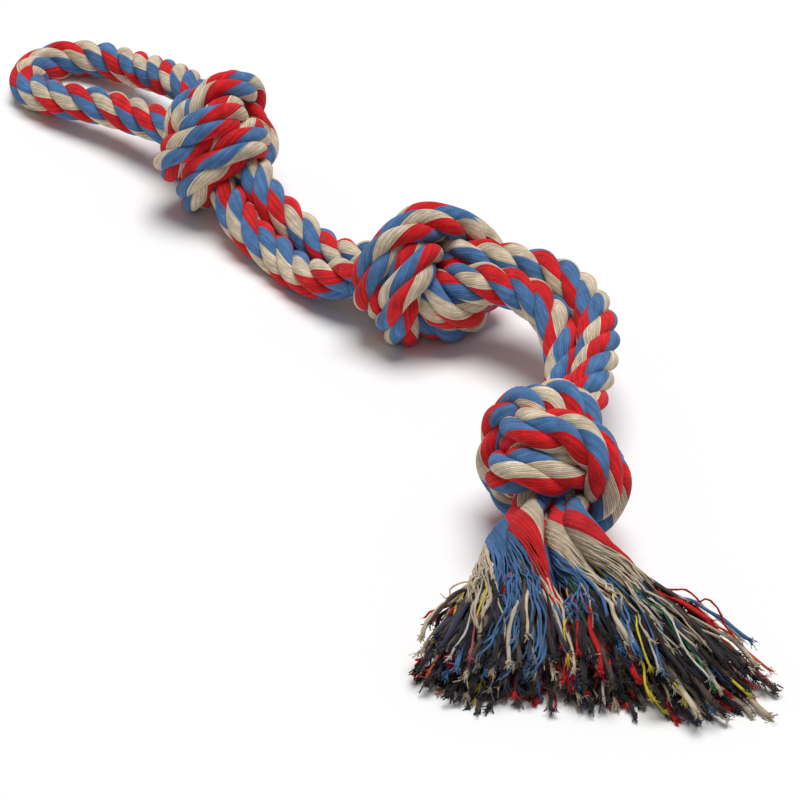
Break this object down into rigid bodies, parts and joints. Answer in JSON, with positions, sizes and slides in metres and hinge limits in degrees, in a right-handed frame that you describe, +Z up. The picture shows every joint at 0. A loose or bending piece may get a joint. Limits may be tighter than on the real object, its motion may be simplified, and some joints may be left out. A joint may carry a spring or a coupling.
{
  "type": "rope dog toy",
  "caption": "Doubled twisted cotton rope with a loop handle at one end, large overhand knots along it and a frayed tassel at the other, for a dog to carry, chew and tug.",
  "frame": {"origin": "on the floor, under the middle of the toy's box as it lies at rest", "axes": "+X from the handle towards the tassel, +Z up from the floor, +Y to the side that the middle knot lies on"},
  "size_m": [0.8038, 0.2472, 0.0769],
  "materials": {
    "rope_cotton": "matte laid cotton yarn",
    "tassel_yarn": "matte frayed cotton yarn"
  },
  "bodies": {
    "middle_knot": {"knot_2_leg_a": "rope_cotton", "knot_2_leg_b": "rope_cotton", "stretch_1_leg_a": "rope_cotton", "stretch_1_leg_b": "rope_cotton", "stretch_2_leg_a": "rope_cotton", "stretch_2_leg_b": "rope_cotton"},
    "first_knot": {"knot_1_leg_a": "rope_cotton", "knot_1_leg_b": "rope_cotton", "handle_neck_leg_a": "rope_cotton", "handle_neck_leg_b": "rope_cotton"},
    "handle": {"handle_grip": "rope_cotton"},
    "last_knot": {"knot_3_leg_a": "rope_cotton", "knot_3_leg_b": "rope_cotton", "tassel_end_a1": "tassel_yarn", "tassel_end_a2": "tassel_yarn", "tassel_end_a3": "tassel_yarn", "tassel_end_a4": "tassel_yarn", "tassel_end_b1": "tassel_yarn", "tassel_end_b2": "tassel_yarn", "tassel_end_b3": "tassel_yarn", "tassel_end_b4": "tassel_yarn"}
  },
  "joints": [
    {"name": "upper_bend", "type": "hinge", "parent": "middle_knot", "child": "first_knot", "pos_m": [-0.073, 0.0205, 0.0195], "axis": [0, 0, 1], "range_deg": [-40, 40], "deforming": ["stretch_1_leg_a", "stretch_1_leg_b"]},
    {"name": "handle_bend", "type": "hinge", "parent": "first_knot", "child": "handle", "pos_m": [-0.2365, 0.02, 0.0362], "axis": [0, 0, 1], "range_deg": [-35, 35], "deforming": ["handle_neck_leg_a", "handle_neck_leg_b"]},
    {"name": "lower_bend", "type": "hinge", "parent": "middle_knot", "child": "last_knot", "pos_m": [0.123, 0.0885, 0.0455], "axis": [0, 0, 1], "range_deg": [-40, 40], "deforming": ["stretch_2_leg_a", "stretch_2_leg_b"]}
  ]
}
